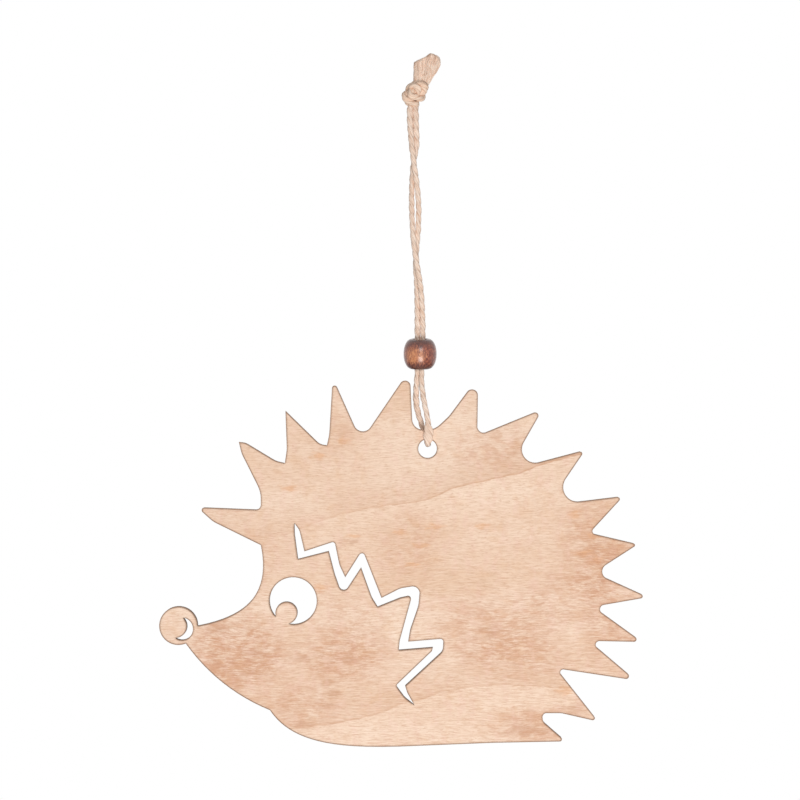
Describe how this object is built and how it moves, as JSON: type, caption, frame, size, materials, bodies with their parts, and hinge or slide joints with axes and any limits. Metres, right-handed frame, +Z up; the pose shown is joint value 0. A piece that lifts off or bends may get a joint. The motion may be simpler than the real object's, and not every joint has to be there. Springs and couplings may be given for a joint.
{
  "type": "hanging animal ornament",
  "caption": "Flat laser-cut plywood hedgehog ornament that hangs on a knotted loop of jute twine with a sliding wooden bead; the plate swings and twists on the twine.",
  "frame": {"origin": "the point inside the twine loop, just under the knot, where a hook or a twig carries it", "axes": "+Z up along the hanging twine, +X from the nose towards the rump, -Y out of the front face"},
  "size_m": [0.1422, 0.0098, 0.203],
  "materials": {
    "ply_face": "matt, unfinished",
    "ply_core": "laser-cut edge",
    "bead_wood": "stained, satin",
    "twine": "natural jute"
  },
  "bodies": {
    "hanger": {"twine_knot": "twine", "twine_left_tail": "twine", "twine_right_tail": "twine", "twine_left_strand": "twine", "twine_right_strand": "twine"},
    "bead": {"bead": "bead_wood"},
    "hole_loop": {"twine_hole_loop": "twine"},
    "plate": {"front_veneer": "ply_face", "core_veneer": "ply_core", "back_veneer": "ply_face"}
  },
  "joints": [
    {"name": "bead_slide", "type": "slide", "parent": "hanger", "child": "bead", "axis": [-0.0293, 0, 0.9996], "range_m": [-0.0012, 0.067]},
    {"name": "twine_twist", "type": "hinge", "parent": "hanger", "child": "hole_loop", "pos_m": [0.0021, 0, -0.0717], "axis": [0, 0, 1], "range_deg": [-180, 180], "stiffness_Nm_per_rad": 0.00008},
    {"name": "plate_swing", "type": "hinge", "parent": "hole_loop", "child": "plate", "pos_m": [0.0044, 0, -0.09785], "axis": [0, -1, 0], "range_deg": [-1.5, 30]}
  ]
}
